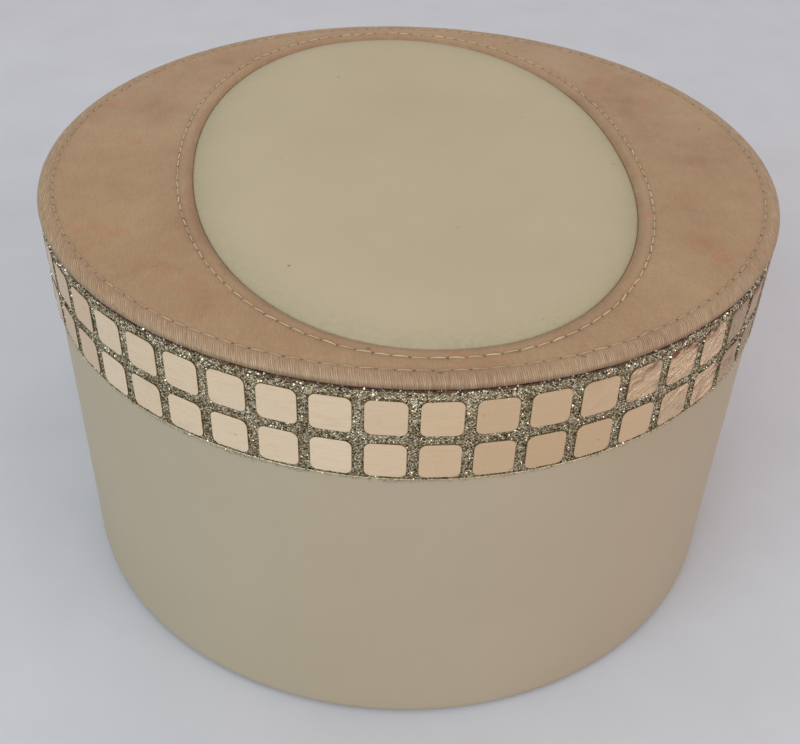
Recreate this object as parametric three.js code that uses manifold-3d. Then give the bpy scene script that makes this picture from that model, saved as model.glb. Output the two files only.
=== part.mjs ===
// Round powder box: covered board base with a neck collar, lift-off padded lid, tub and puff.
// Millimetres. The box stands on z = 0 with its axis on Z, and its front faces -Y.
import * as THREE from 'three';
import { mergeVertices } from 'three/addons/utils/BufferGeometryUtils.js';
import Module from 'manifold-3d';

const wasm = await Module();
wasm.setup();

// Outside sizes
const LID_RADIUS = 75;
const BASE_RADIUS = 74.3;
const SEAM_Z = 66.2;
const SATIN_Z = 87.5;
const INSET_CROWN_Z = 88.0;

// Board, covering and lining
const GLUE_GAP = 0.3;
const WALL_OUTER = 73.6;
const WALL_INNER = 71.7;
const WRAP_INNER = 73.8;
const COLLAR_OUTER = 71;
const COLLAR_INNER = 70.1;
const COLLAR_TOP = 80;
const COLLAR_WRAP_FOOT = 58.5;
const FLOOR_Z = 1.1;
const FLOOR_THICK = 2;
const TURN_UNDER = 66;

// Lid shell
const HOOP_OUTER = 73.7;
const HOOP_INNER = 71.9;
const LID_BOARD_Z = 84.2;
const LID_BOARD_THICK = 1.4;
const PAD_Z = LID_BOARD_Z + LID_BOARD_THICK + GLUE_GAP;

// Mirror tile trim
const TILE_COUNT = 52;
const TILE_WIDTH = 7.1;
const TILE_HEIGHT = 7.2;
const TILE_CORNER = 1.3;
const TILE_ROWS_Z = [70.6, 79.65];
const RIBBON_INNER = 74;
const RIBBON_OUTER = 74.6;
const RIBBON_TOP = 85.4;
const TILE_SEAM_ANGLE = 0.023;

// Oval opening of the satin panel: half width across, half length front to back, and how full its
// shoulders are, where 2 would be a plain ellipse
const OVAL_X = 44.6;
const OVAL_Y = 65.8;
const OVAL_FULLNESS = 2.13;
const INSET_CLEARANCE = 0.4;

// Powder tub and puff
const TUB_FOOT_Z = 4.2;
const TUB_OUTER = 69;
const TUB_TOP = 58;
const LEDGE_Z = 44.1;
const WELL_TOP_RADIUS = 54.7;
const WELL_FOOT_RADIUS = 52.2;
const PUFF_RADIUS = 62;
const PUFF_TOP = 64;
const RIBBON_GRIP_WIDTH = 18;

// Facets round the axis
const PLAIN = 44;
const FINE = 66;

const group = new THREE.Group();

function part(name, geometry, color, roughness, metalness = 0) {
  const material = new THREE.MeshStandardMaterial({ color, roughness, metalness });
  const mesh = new THREE.Mesh(geometry, material);
  mesh.name = name;
  group.add(mesh);
}

// A solid of revolution from [radius, height] points, run upwards along its outer side
function revolve(profile, segments) {
  const points = profile.map(([radius, z]) => new THREE.Vector2(radius, z));
  const lathe = new THREE.LatheGeometry(points, segments, TILE_SEAM_ANGLE, 2 * Math.PI);
  return lathe.rotateX(Math.PI / 2);
}

function disc(radius, low, high) {
  return revolve([[0, low], [radius, low], [radius, high], [0, high]], PLAIN);
}

function tube(inner, outer, low, high, segments = PLAIN) {
  const corners = [[inner, low], [outer, low], [outer, high], [inner, high], [inner, low]];
  return revolve(corners, segments);
}

// A sine or cosine bent so that an oval drawn with it has fuller shoulders
function bent(value, fullness) {
  return Math.sign(value) * Math.abs(value) ** (2 / fullness);
}

// A closed skin through level rings [half width, half length, height, fullness].
// A ring of zero width closes an end on the axis; without one the last ring joins the first.
function ovalLoft(rings, segments) {
  const positions = [];
  const starts = [];
  for (const [halfX, halfY, z, fullness = 2] of rings) {
    starts.push(positions.length / 3);
    const count = halfX === 0 ? 1 : segments;
    for (let i = 0; i < count; i += 1) {
      const angle = TILE_SEAM_ANGLE + (2 * Math.PI * i) / segments;
      const x = halfX * bent(Math.sin(angle), fullness);
      const y = -halfY * bent(Math.cos(angle), fullness);
      positions.push(x, y, z);
    }
  }
  const isPole = rings.map((ring) => ring[0] === 0);
  const spans = isPole[0] ? rings.length - 1 : rings.length;
  const index = [];
  for (let k = 0; k < spans; k += 1) {
    const next = (k + 1) % rings.length;
    for (let i = 0; i < segments; i += 1) {
      const j = (i + 1) % segments;
      const a = starts[k] + (isPole[k] ? 0 : i);
      const b = starts[k] + (isPole[k] ? 0 : j);
      const c = starts[next] + (isPole[next] ? 0 : j);
      const d = starts[next] + (isPole[next] ? 0 : i);
      if (a !== b) {
        index.push(a, b, c);
      }
      if (c !== d) {
        index.push(a, c, d);
      }
    }
  }
  const geometry = new THREE.BufferGeometry();
  geometry.setAttribute('position', new THREE.Float32BufferAttribute(positions, 3));
  geometry.setIndex(index);
  geometry.computeVertexNormals();
  return geometry;
}

// Rings that follow the oval opening at a given distance outside its edge
function hemRing(offset, z) {
  return [OVAL_X + offset, OVAL_Y + offset, z, OVAL_FULLNESS];
}

// Rings of the inset panel, drawn in from its edge and then shrunk towards its middle
function insetRing(drawIn, scale, z) {
  const edge = INSET_CLEARANCE + drawIn;
  return [(OVAL_X - edge) * scale, (OVAL_Y - edge) * scale, z, OVAL_FULLNESS];
}

function toManifold(geometry) {
  const bare = geometry.clone();
  bare.deleteAttribute('normal');
  bare.deleteAttribute('uv');
  const merged = mergeVertices(bare, 1e-4);
  const mesh = new wasm.Mesh({
    numProp: 3,
    vertProperties: new Float32Array(merged.attributes.position.array),
    triVerts: new Uint32Array(merged.index.array),
  });
  return new wasm.Manifold(mesh);
}

function fromManifold(solid) {
  const mesh = solid.getMesh();
  const geometry = new THREE.BufferGeometry();
  geometry.setAttribute('position', new THREE.BufferAttribute(mesh.vertProperties, 3));
  geometry.setIndex(new THREE.BufferAttribute(mesh.triVerts, 1));
  geometry.computeVertexNormals();
  return geometry;
}

function roundedRectangle(width, height, corner) {
  const x = width / 2;
  const y = height / 2;
  const shape = new THREE.Shape();
  shape.moveTo(x - corner, -y);
  shape.absarc(x - corner, corner - y, corner, -Math.PI / 2, 0);
  shape.absarc(x - corner, y - corner, corner, 0, Math.PI / 2);
  shape.absarc(corner - x, y - corner, corner, Math.PI / 2, Math.PI);
  shape.absarc(corner - x, corner - y, corner, Math.PI, 1.5 * Math.PI);
  return shape;
}

// Base: board wall and floor, leatherette wrap turned over both edges, bottom cover and collar
part('base_wall', tube(WALL_INNER, WALL_OUTER, FLOOR_Z, SEAM_Z - 0.7), 0xb9ab93, 0.9);
part('base_floor', disc(WALL_INNER - GLUE_GAP, FLOOR_Z, FLOOR_Z + FLOOR_THICK), 0xb9ab93, 0.9);

const wrapTop = SEAM_Z - 0.2;
const wrapSection = [
  [TURN_UNDER, 0.3],
  [BASE_RADIUS - 1.2, 0.3],
  [BASE_RADIUS - 0.4, 0.6],
  [BASE_RADIUS - 0.05, 1.3],
  [BASE_RADIUS, 2.2],
  [BASE_RADIUS, wrapTop - 0.4],
  [BASE_RADIUS - 0.3, wrapTop],
  [WALL_INNER + 0.1, wrapTop],
  [WALL_INNER + 0.1, wrapTop - GLUE_GAP],
  [WRAP_INNER, wrapTop - GLUE_GAP],
  [WRAP_INNER, 1.2],
  [WRAP_INNER - 0.3, 0.8],
  [TURN_UNDER, 0.8],
  [TURN_UNDER, 0.3],
];
part('base_wrap', revolve(wrapSection, FINE), 0xa59a86, 0.62);
part('bottom_cover', disc(TURN_UNDER - GLUE_GAP, 0, 0.8), 0x8f8573, 0.85);

const floorTop = FLOOR_Z + FLOOR_THICK;
const collar = tube(COLLAR_INNER, COLLAR_OUTER, floorTop + GLUE_GAP, COLLAR_TOP);
part('neck_collar', collar, 0xb9ab93, 0.9);
const liningZ = floorTop + GLUE_GAP;
part('floor_lining', disc(COLLAR_INNER - 0.7, liningZ, liningZ + 0.5), 0xd9c8ab, 0.7);

// Satin wrap of the collar, folded over its top edge
const collarWrapSection = [
  [COLLAR_OUTER + 0.15, COLLAR_WRAP_FOOT],
  [COLLAR_OUTER + 0.45, COLLAR_WRAP_FOOT],
  [COLLAR_OUTER + 0.45, COLLAR_TOP + 0.1],
  [COLLAR_OUTER + 0.1, COLLAR_TOP + 0.45],
  [COLLAR_INNER - 0.1, COLLAR_TOP + 0.45],
  [COLLAR_INNER - 0.45, COLLAR_TOP + 0.1],
  [COLLAR_INNER - 0.45, COLLAR_WRAP_FOOT],
  [COLLAR_INNER - 0.15, COLLAR_WRAP_FOOT],
  [COLLAR_INNER - 0.15, COLLAR_TOP + 0.15],
  [COLLAR_OUTER + 0.15, COLLAR_TOP + 0.15],
  [COLLAR_OUTER + 0.15, COLLAR_WRAP_FOOT],
];
part('collar_wrap', revolve(collarWrapSection, PLAIN), 0xc7a98e, 0.45);

// Moulded tub: a powder well inside a wide ledge that carries the puff
const tubWall = 1.6;
const tubSection = [
  [0, TUB_FOOT_Z],
  [WELL_FOOT_RADIUS - 0.4, TUB_FOOT_Z],
  [WELL_FOOT_RADIUS + tubWall - 0.2, TUB_FOOT_Z + 1.6],
  [WELL_TOP_RADIUS + tubWall, LEDGE_Z - tubWall],
  [TUB_OUTER - 1, LEDGE_Z - tubWall],
  [TUB_OUTER, LEDGE_Z - tubWall + 1],
  [TUB_OUTER, TUB_TOP - 0.5],
  [TUB_OUTER - 0.4, TUB_TOP],
  [TUB_OUTER - tubWall + 0.3, TUB_TOP],
  [TUB_OUTER - tubWall, TUB_TOP - 0.4],
  [TUB_OUTER - tubWall, LEDGE_Z + 0.6],
  [TUB_OUTER - tubWall - 0.6, LEDGE_Z],
  [WELL_TOP_RADIUS + 0.8, LEDGE_Z],
  [WELL_TOP_RADIUS, LEDGE_Z - 0.8],
  [WELL_FOOT_RADIUS, TUB_FOOT_Z + tubWall + 0.8],
  [WELL_FOOT_RADIUS - 0.8, TUB_FOOT_Z + tubWall],
  [0, TUB_FOOT_Z + tubWall],
];
part('powder_tub', revolve(tubSection, PLAIN), 0xeae2d3, 0.4);

// Puff: plush pad with a rounded rim, satin back and a ribbon arch to hold it by
const padFoot = LEDGE_Z + GLUE_GAP;
const padSection = [
  [0, padFoot - 1.6],
  [34, padFoot - 1.3],
  [50, padFoot],
  [PUFF_RADIUS - 5, padFoot],
  [PUFF_RADIUS - 1.5, padFoot + 2.2],
  [PUFF_RADIUS, padFoot + 8],
  [PUFF_RADIUS - 1, padFoot + 14],
  [PUFF_RADIUS - 4, padFoot + 17.6],
  [PUFF_RADIUS - 9, PUFF_TOP - 0.6],
  [PUFF_RADIUS - 21, PUFF_TOP],
  [0, PUFF_TOP],
];
part('puff_pad', revolve(padSection, PLAIN), 0xf0dcd0, 0.95);

const backZ = PUFF_TOP + GLUE_GAP;
const backSection = [
  [0, backZ],
  [PUFF_RADIUS - 21, backZ],
  [PUFF_RADIUS - 9, backZ - 0.55],
  [PUFF_RADIUS - 8.4, backZ - 0.35],
  [PUFF_RADIUS - 8.6, backZ + 0.1],
  [PUFF_RADIUS - 20.5, backZ + 0.7],
  [0, backZ + 0.7],
];
part('puff_backing', revolve(backSection, PLAIN), 0xe2c3b0, 0.45);

// Ribbon grip: two sewn ends lie flat, and the middle stands up in an arch for two fingers
const gripLow = backZ + 1;
const gripThick = 0.8;
const gripRise = new THREE.CubicBezierCurve(
  new THREE.Vector2(-30, gripLow),
  new THREE.Vector2(-20, gripLow),
  new THREE.Vector2(-20, gripLow + 9),
  new THREE.Vector2(0, gripLow + 9),
).getPoints(9);
const gripLeft = [new THREE.Vector2(-37, gripLow), ...gripRise];
const gripRight = gripLeft.slice(0, -1).reverse().map((point) => new THREE.Vector2(-point.x, point.y));
const gripLine = [...gripLeft, ...gripRight];
const gripTop = gripLine.map((point) => new THREE.Vector2(point.x, point.y + gripThick)).reverse();
const gripShape = new THREE.Shape([...gripLine, ...gripTop]);
const gripOptions = { depth: RIBBON_GRIP_WIDTH, bevelEnabled: false };
const grip = new THREE.ExtrudeGeometry(gripShape, gripOptions);
grip.rotateX(Math.PI / 2).translate(0, RIBBON_GRIP_WIDTH / 2, 0);
part('puff_grip', grip, 0xd9b39c, 0.4);

// Lid shell: board hoop and top, lined underneath
const hoop = tube(HOOP_INNER, HOOP_OUTER, SEAM_Z + 0.2, LID_BOARD_Z - GLUE_GAP);
part('lid_rim', hoop, 0xcabda6, 0.85);
const lidBoard = disc(HOOP_OUTER, LID_BOARD_Z, LID_BOARD_Z + LID_BOARD_THICK);
part('lid_board', lidBoard, 0xb9ab93, 0.9);
const lidLining = disc(HOOP_INNER - 0.4, LID_BOARD_Z - 0.9, LID_BOARD_Z - GLUE_GAP);
part('lid_lining', lidLining, 0xd9c8ab, 0.6);

// Trim: a ribbon round the hoop with two rows of flat mirror tiles bonded to it
const tileShape = roundedRectangle(TILE_WIDTH, TILE_HEIGHT, TILE_CORNER);
const tileDepth = LID_RADIUS - RIBBON_OUTER + 0.4;
const tileOptions = { depth: tileDepth, bevelEnabled: false, curveSegments: 1 };
let trim = toManifold(tube(RIBBON_INNER, RIBBON_OUTER, SEAM_Z, RIBBON_TOP, TILE_COUNT));
for (const rowZ of TILE_ROWS_Z) {
  for (let i = 0; i < TILE_COUNT; i += 1) {
    const angle = TILE_SEAM_ANGLE + ((i + 0.5) * 2 * Math.PI) / TILE_COUNT;
    const tile = new THREE.ExtrudeGeometry(tileShape, tileOptions);
    tile.rotateX(Math.PI / 2).translate(0, tileDepth - LID_RADIUS, rowZ).rotateZ(angle);
    trim = trim.add(toManifold(tile));
  }
}
part('tile_trim', fromManifold(trim), 0xc9b79c, 0.25, 0.9);

// Padding and satin panel: the satin rolls over the rim and hems round the oval opening
const foamTop = SATIN_Z - 0.8;
const foamRings = [
  [LID_RADIUS - 2.4, LID_RADIUS - 2.4, PAD_Z],
  [LID_RADIUS - 2.4, LID_RADIUS - 2.4, foamTop],
  hemRing(2.6, foamTop),
  hemRing(2.6, PAD_Z),
];
part('lid_foam', ovalLoft(foamRings, PLAIN), 0xe7ddc9, 0.95);

function rimRing(inset, drop) {
  return [LID_RADIUS - inset, LID_RADIUS - inset, SATIN_Z - drop];
}
const satinRings = [
  rimRing(1.1, 2),
  rimRing(0.4, 1.95),
  rimRing(0, 1.35),
  rimRing(0.25, 0.65),
  rimRing(1, 0.18),
  rimRing(2.4, 0),
  hemRing(3.6, SATIN_Z),
  hemRing(2.2, SATIN_Z - 0.12),
  hemRing(1.1, SATIN_Z - 0.4),
  hemRing(0.35, SATIN_Z - 0.85),
  hemRing(0, SATIN_Z - 1.3),
  hemRing(0.05, PAD_Z),
  hemRing(0.55, PAD_Z),
  hemRing(0.6, SATIN_Z - 1.35),
  hemRing(1.3, SATIN_Z - 0.9),
  hemRing(2.3, SATIN_Z - 0.6),
  rimRing(2.1, 0.55),
  rimRing(0.8, 1.1),
  rimRing(1.1, 1.5),
];
part('satin_cover', ovalLoft(satinRings, FINE), 0xa6896d, 0.4);

// Inset panel: a board and thin padding under a domed leatherette cover with a rounded edge
const insetBoardRings = [
  [0, 0, PAD_Z],
  insetRing(1.4, 1, PAD_Z),
  insetRing(1.4, 1, PAD_Z + 0.5),
  [0, 0, PAD_Z + 0.5],
];
part('inset_board', ovalLoft(insetBoardRings, PLAIN), 0xb9ab93, 0.9);

const paddingZ = PAD_Z + 0.65;
const paddingRings = [
  [0, 0, paddingZ],
  insetRing(2.1, 1, paddingZ),
  insetRing(2.4, 1, paddingZ + 0.12),
  insetRing(3.6, 1, paddingZ + 0.3),
  insetRing(3.6, 0.7, paddingZ + 0.52),
  [0, 0, paddingZ + 0.66],
];
part('inset_padding', ovalLoft(paddingRings, PLAIN), 0xe7ddc9, 0.95);

const coverThick = 0.5;
const insetRings = [
  [0, 0, INSET_CROWN_Z - coverThick],
  insetRing(3.6, 0.35, INSET_CROWN_Z - 0.06 - coverThick),
  insetRing(3.6, 0.7, INSET_CROWN_Z - 0.23 - coverThick),
  insetRing(3.6, 1, INSET_CROWN_Z - 0.48 - coverThick),
  insetRing(1.6, 1, INSET_CROWN_Z - 0.74 - coverThick),
  insetRing(0.65, 1, PAD_Z + 0.55),
  insetRing(0.6, 1, PAD_Z),
  insetRing(0.1, 1, PAD_Z),
  insetRing(0, 1, PAD_Z + 0.4),
  insetRing(0.15, 1, INSET_CROWN_Z - 1.3),
  insetRing(0.5, 1, INSET_CROWN_Z - 1),
  insetRing(1.1, 1, INSET_CROWN_Z - 0.75),
  insetRing(2, 1, INSET_CROWN_Z - 0.58),
  insetRing(3.6, 1, INSET_CROWN_Z - 0.48),
  insetRing(3.6, 0.7, INSET_CROWN_Z - 0.23),
  insetRing(3.6, 0.35, INSET_CROWN_Z - 0.06),
  [0, 0, INSET_CROWN_Z],
];
part('inset_cover', ovalLoft(insetRings, PLAIN), 0xb6a68c, 0.6);

export default group;
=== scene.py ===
import math

import bpy
import numpy as np
from mathutils import Matrix, Vector


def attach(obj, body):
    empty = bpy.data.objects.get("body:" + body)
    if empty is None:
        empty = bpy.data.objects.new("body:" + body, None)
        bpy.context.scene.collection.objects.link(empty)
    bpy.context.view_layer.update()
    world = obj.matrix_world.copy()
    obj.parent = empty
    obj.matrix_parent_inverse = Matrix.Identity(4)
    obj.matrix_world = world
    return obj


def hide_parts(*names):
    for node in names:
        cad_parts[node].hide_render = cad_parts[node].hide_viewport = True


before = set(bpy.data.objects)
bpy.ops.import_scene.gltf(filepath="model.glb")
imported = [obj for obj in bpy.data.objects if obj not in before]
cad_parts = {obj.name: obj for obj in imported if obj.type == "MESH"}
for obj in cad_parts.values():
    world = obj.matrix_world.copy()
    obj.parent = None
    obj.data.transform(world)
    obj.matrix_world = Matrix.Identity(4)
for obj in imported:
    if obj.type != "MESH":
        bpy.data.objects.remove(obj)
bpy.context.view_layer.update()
rng = np.random.default_rng(52)
MM = 0.001
TAU = 2 * math.pi
UP = np.array([0.0, 0.0, 1.0])

# Sizes in millimetres and the seam's angle in radians, as in the CAD model
LID_R = 75.0
SATIN_Z = 87.5
PAD_Z = 85.9
OVAL_X, OVAL_Y = 44.6, 65.8
OVAL_FULLNESS = 2.13
SEAM_ANGLE = 0.023
TILES = 52
TILE_W, TILE_H, TILE_CORNER = 7.1, 7.2, 1.3
TILE_ROWS = (70.6, 79.65)
RIBBON_R, RIBBON_LOW, RIBBON_TOP = 74.6, 66.2, 85.4

# Points round each turned piece
RIBBON_POINTS = TILES * 6
INSET_POINTS, WRAP_POINTS, INSIDE_POINTS, PUFF_POINTS = 480, 360, 300, 420


# Mesh helpers

SHARP_OVER = math.radians(50)


def add_mesh(name, verts, faces, material, uvs=None, smooth=True):
    """A new object from points in millimetres; material is one material or a list."""
    mesh = bpy.data.meshes.new(name)
    mesh.from_pydata(np.asarray(verts, float) * MM, [], faces)
    if uvs is not None:
        layer = mesh.uv_layers.new(name="UVMap")
        layer.data.foreach_set("uv", np.asarray(uvs, np.float32).ravel())
    mesh.polygons.foreach_set("use_smooth", np.full(len(mesh.polygons), smooth))
    if smooth:
        mesh.set_sharp_from_angle(angle=SHARP_OVER)
    for one in material if isinstance(material, list) else [material]:
        mesh.materials.append(one)
    obj = bpy.data.objects.new(name, mesh)
    bpy.context.scene.collection.objects.link(obj)
    return obj


def set_values(obj, name, values):
    """One number for each point of a mesh, which a material can read by name."""
    layer = obj.data.attributes.new(name, "FLOAT", "POINT")
    layer.data.foreach_set("value", np.asarray(values, np.float32))


def tube_faces(start, sides, rings):
    """Quads between rings of points that follow each other from the given first point."""
    faces = []
    for j in range(rings - 1):
        for q in range(sides):
            a = start + j * sides + q
            b = start + j * sides + (q + 1) % sides
            faces.append((a, b, b + sides, a + sides))
    return faces


def closed_tube(start, sides, rings):
    """The same with a flat face at either end."""
    last = start + (rings - 1) * sides
    ends = [tuple(range(start + sides - 1, start - 1, -1)), tuple(range(last, last + sides))]
    return tube_faces(start, sides, rings) + ends


def ring_grid(name, rings, material, closed, length):
    """A skin through rings of points, shape (rings, points, 3); closed joins the last ring to the first.
    A first or last ring that has shrunk to the axis becomes a single point. UVs run in millimetres, with
    the given length round a ring."""
    rings = np.asarray(rings, float)
    n, m = rings.shape[:2]
    number = np.arange(n * m).reshape(n, m)
    for end in (0, n - 1):
        if np.ptp(rings[end, :, 0]) < 1e-6:
            number[end] = number[end, 0]
    step = np.linalg.norm(np.diff(rings[:, 0], axis=0, append=rings[:1, 0]), axis=1)
    v = np.concatenate([[0], np.cumsum(step)])
    u = np.arange(m + 1) / m * length
    faces, uvs = [], []
    for k in range(n if closed else n - 1):
        k2 = (k + 1) % n
        for i in range(m):
            i2 = (i + 1) % m
            corners = [(number[k, i], u[i], v[k]), (number[k, i2], u[i + 1], v[k]),
                       (number[k2, i2], u[i + 1], v[k + 1]), (number[k2, i], u[i], v[k + 1])]
            if corners[0][0] == corners[1][0]:
                corners.pop(0)
            elif corners[2][0] == corners[3][0]:
                corners.pop(2)
            faces.append([c[0] for c in corners])
            uvs += [c[1:] for c in corners]
    used, packed = np.unique(np.concatenate([np.asarray(f) for f in faces]), return_inverse=True)
    verts = rings.reshape(-1, 3)[used]
    ends = np.cumsum([len(f) for f in faces])[:-1]
    faces = [f.tolist() for f in np.split(packed, ends)]
    return add_mesh(name, verts, faces, material, uvs)


def angles(count):
    return SEAM_ANGLE + np.arange(count) / count * TAU


def circle(radius, z, a):
    return np.stack([radius * np.sin(a), -radius * np.cos(a), np.full_like(a, z)], -1)


def bent(value):
    """A sine or cosine pushed out a little, for an oval with full shoulders."""
    return np.sign(value) * np.abs(value) ** (2 / OVAL_FULLNESS)


def oval(half_x, half_y, z, a):
    return np.stack([half_x * bent(np.sin(a)), -half_y * bent(np.cos(a)), np.full_like(a, z)], -1)


def curve_through(points, per_span=3):
    """Points along a smooth curve that passes through the given ones."""
    p = np.asarray(points, float)
    p = np.vstack([2 * p[0] - p[1], p, 2 * p[-1] - p[-2]])
    t = np.arange(per_span)[:, None] / per_span
    spans = []
    for a, b, c, d in zip(p, p[1:], p[2:], p[3:]):
        square = (2 * a - 5 * b + 4 * c - d) * t ** 2 / 2
        cube = (3 * b - a - 3 * c + d) * t ** 3 / 2
        spans.append(b + (c - a) * t / 2 + square + cube)
    return np.vstack([*spans, p[-2:-1]])


def arc(x, z, radius, start, end, count=7):
    """Points on a round corner; the angles are in degrees, from outwards to upwards."""
    turns = np.radians(np.linspace(start, end, count))
    return [(x + radius * math.cos(t), z + radius * math.sin(t)) for t in turns]


def revolve(name, profile, material, count):
    """A profile of radius and height turned round the axis; one that starts on the axis stays open there."""
    a = angles(count)
    closed = profile[0][0] > 0
    return ring_grid(name, [circle(r, z, a) for r, z in profile], material, closed, TAU * LID_R)


# Material helpers

def new_material(name):
    material = bpy.data.materials.new(name)
    material.use_nodes = True
    tree = material.node_tree
    return material, tree, tree.nodes["Principled BSDF"]


def node(tree, kind, **values):
    made = tree.nodes.new(kind)
    for key, value in values.items():
        if hasattr(made, key):
            setattr(made, key, value)
        else:
            made.inputs[key.replace("_", " ")].default_value = value
    return made


def coordinates(tree, kind="Object"):
    return tree.nodes.new("ShaderNodeTexCoord").outputs[kind]


def math_node(tree, operation, *values):
    made = tree.nodes.new("ShaderNodeMath")
    made.operation = operation
    for socket, value in zip(made.inputs, values):
        if isinstance(value, (int, float)):
            socket.default_value = value
        else:
            tree.links.new(value, socket)
    return made.outputs[0]


def times(tree, a, b):
    return math_node(tree, "MULTIPLY", a, b)


def plus(tree, a, b):
    return math_node(tree, "ADD", a, b)


def less_half(tree, value):
    return math_node(tree, "SUBTRACT", value, 0.5)


def srgb(r, g, b):
    shares = [c / 255 for c in (r, g, b)]
    linear = [c / 12.92 if c <= 0.04045 else ((c + 0.055) / 1.055) ** 2.4 for c in shares]
    return (*linear, 1.0)


def ramp(tree, factor, stops):
    made = tree.nodes.new("ShaderNodeValToRGB")
    elements = made.color_ramp.elements
    elements[0].position, elements[0].color = stops[0]
    elements[1].position, elements[1].color = stops[-1]
    for position, color in stops[1:-1]:
        elements.new(position).color = color
    tree.links.new(factor, made.inputs[0])
    return made.outputs[0]


def noise(tree, scale, detail, roughness, vector):
    made = node(tree, "ShaderNodeTexNoise", Scale=scale, Detail=detail, Roughness=roughness)
    tree.links.new(vector, made.inputs["Vector"])
    return made.outputs["Fac"]


def bump(tree, bsdf, height, strength, distance, normal=None):
    made = node(tree, "ShaderNodeBump", Strength=strength, Distance=distance)
    tree.links.new(height, made.inputs["Height"])
    if normal is not None:
        tree.links.new(normal, made.inputs["Normal"])
    tree.links.new(made.outputs["Normal"], bsdf.inputs["Normal"])
    return made.outputs["Normal"]


def set_roughness(tree, bsdf, factor, low, high):
    """Roughness that goes from low to high with a factor from zero to one."""
    tree.links.new(math_node(tree, "MULTIPLY_ADD", factor, high - low, low), bsdf.inputs["Roughness"])


def between(tree, value, low, high):
    """Zero below low and one above high, with a straight rise between."""
    made = tree.nodes.new("ShaderNodeMapRange")
    made.inputs["From Min"].default_value = low
    made.inputs["From Max"].default_value = high
    tree.links.new(value, made.inputs["Value"])
    return made.outputs[0]


def stretched(tree, vector, scale):
    made = tree.nodes.new("ShaderNodeVectorMath")
    made.operation = "MULTIPLY"
    made.inputs[1].default_value = scale
    tree.links.new(vector, made.inputs[0])
    return made.outputs[0]


def mixed(tree, factor, first, second):
    """One colour turning into a second, plain one."""
    made = tree.nodes.new("ShaderNodeMix")
    made.data_type = "RGBA"
    tree.links.new(factor, made.inputs[0])
    tree.links.new(first, made.inputs[6])
    made.inputs[7].default_value = second
    return made.outputs[2]


def attribute(tree, name):
    return node(tree, "ShaderNodeAttribute", attribute_name=name).outputs["Fac"]


# Plain materials

GRAIN_DEPTH = 0.0001
COARSE_DEPTH = 0.0006


def mottled(name, dark, light, scale, rough, grain_scale, grain, sheen=0.0, metallic=0.0, coarse=None):
    """Two tones mixed by noise, a fine grain in the bump, and mottled roughness; coarse adds wider waves."""
    material, tree, bsdf = new_material(name)
    place = coordinates(tree)
    tone = ramp(tree, noise(tree, scale, 6.0, 0.6, place), [(0.3, srgb(*dark)), (0.7, srgb(*light))])
    tree.links.new(tone, bsdf.inputs["Base Color"])
    fine = noise(tree, grain_scale, 3.0, 0.6, place)
    set_roughness(tree, bsdf, fine, *rough)
    normal = bump(tree, bsdf, fine, grain, GRAIN_DEPTH)
    if coarse:
        bump(tree, bsdf, noise(tree, coarse[0], 2.0, 0.55, place), coarse[1], COARSE_DEPTH, normal)
    bsdf.inputs["Metallic"].default_value = metallic
    bsdf.inputs["Sheen Weight"].default_value = sheen
    return material


def woven(name, dark, light, along, kind="Object"):
    """Plain satin: a calm tone with fine threads; along holds the thread fineness in each direction."""
    material, tree, bsdf = new_material(name)
    threads = noise(tree, 1.0, 3.0, 0.7, stretched(tree, coordinates(tree, kind), along))
    tone = ramp(tree, threads, [(0.3, srgb(*dark)), (0.7, srgb(*light))])
    tree.links.new(tone, bsdf.inputs["Base Color"])
    bump(tree, bsdf, threads, 0.35, GRAIN_DEPTH)
    set_roughness(tree, bsdf, threads, 0.32, 0.48)
    bsdf.inputs["Sheen Weight"].default_value = 0.2
    return material


def sewing_thread(name, dark, light):
    return mottled(name, dark, light, 300, (0.5, 0.65), 5200, 0.5, sheen=0.1)


board = mottled("box_board", (172, 158, 134), (192, 179, 156), 160, (0.75, 0.95), 2600, 0.35)
leatherette = mottled("base_leatherette", (173, 155, 130), (177, 159, 135), 25, (0.46, 0.6), 3600, 0.2,
                      coarse=(38, 0.06))
bottom_paper = mottled("bottom_paper", (136, 126, 108), (150, 140, 122), 220, (0.8, 0.95), 2200, 0.4)
ivory = mottled("tub_plastic", (226, 218, 203), (236, 229, 216), 40, (0.28, 0.36), 900, 0.06)
plush = mottled("puff_plush", (232, 210, 198), (246, 228, 218), 500, (0.9, 1.0), 2600, 0.9, sheen=0.8)
wadding = mottled("wadding", (222, 212, 194), (236, 228, 212), 300, (0.9, 1.0), 1600, 0.6)
# Tile walls: a darker foil tone, both the cut edge and painted shade for the dark outline round each tile
foil_edge_and_shade = mottled("foil_edge_and_shade", (112, 90, 62), (142, 118, 84), 700, (0.35, 0.5), 2400, 0.4, metallic=0.5)
fibre = mottled("loose_fibre", (74, 58, 38), (132, 112, 80), 900, (0.4, 0.6), 2400, 0.3)
edge_thread = mottled("edge_thread", (156, 134, 98), (226, 208, 170), 1800, (0.3, 0.45), 2400, 0.6,
                      metallic=0.5)
# Needle holes: dark discs of painted shade where the holes are
needle_hole_shade = mottled("needle_hole_shade", (88, 64, 44), (152, 122, 90), 260, (0.8, 0.95), 2600, 0.3)
dark_glue_and_shadow = mottled("dark_glue_and_shadow", (28, 17, 10), (108, 66, 36), 420, (0.4, 0.6), 1500, 0.4)
# The oval row's thread is paler than the rim row's as a painted highlight
thread = sewing_thread("lit_stitch_thread", (176, 152, 118), (208, 188, 156))
rim_thread = sewing_thread("rim_thread", (154, 126, 95), (190, 165, 133))
puff_thread = sewing_thread("puff_thread", (186, 146, 126), (212, 176, 158))
lining = woven("satin_lining", (188, 158, 132), (207, 179, 153), (4200, 240, 240))
collar_lining = woven("collar_lining", (188, 158, 132), (207, 179, 153), (4.2, 0.24, 0.24), "UV")
puff_satin = woven("puff_satin", (212, 178, 158), (231, 201, 183), (4200, 240, 240))


# Worn materials of the lid, with painted shade, highlights and reflections

RIB_PITCH, RIB_LEAN = 0.37, 0.2
ROLL_FROM, ROLL_FULL = 71.6, 73.6


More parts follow.
